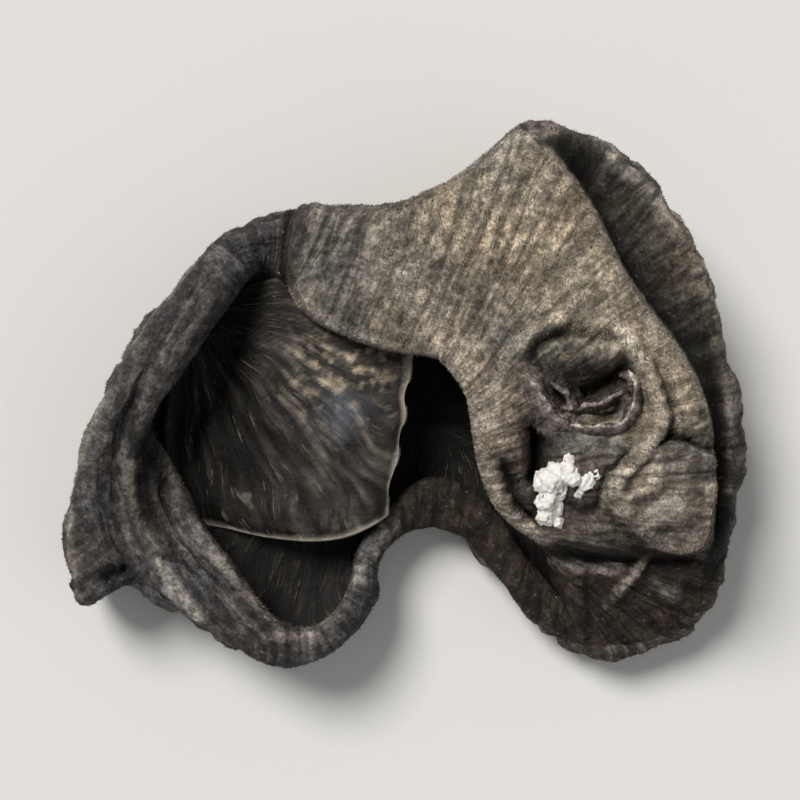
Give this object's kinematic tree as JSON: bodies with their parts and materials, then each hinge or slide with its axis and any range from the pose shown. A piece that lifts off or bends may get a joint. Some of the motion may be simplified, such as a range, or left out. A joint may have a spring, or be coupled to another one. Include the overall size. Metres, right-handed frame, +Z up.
{
  "type": "dried wood ear mushroom",
  "caption": "One dried wood ear mushroom: a thin leathery sheet curled into a cup on one side and folded over into a felted hood on the other, lying loose on a surface.",
  "frame": {"origin": "under the middle of the ear's footprint, on the surface it lies on", "axes": "+X along the longest extent, from the cup towards the hood; +Y towards the hood's far side; +Z up from the surface"},
  "size_m": [0.0429, 0.0342, 0.014],
  "materials": {
    "flesh": "felted matte"
  },
  "bodies": {
    "root": {"wood_ear": "flesh"}
  },
  "joints": []
}
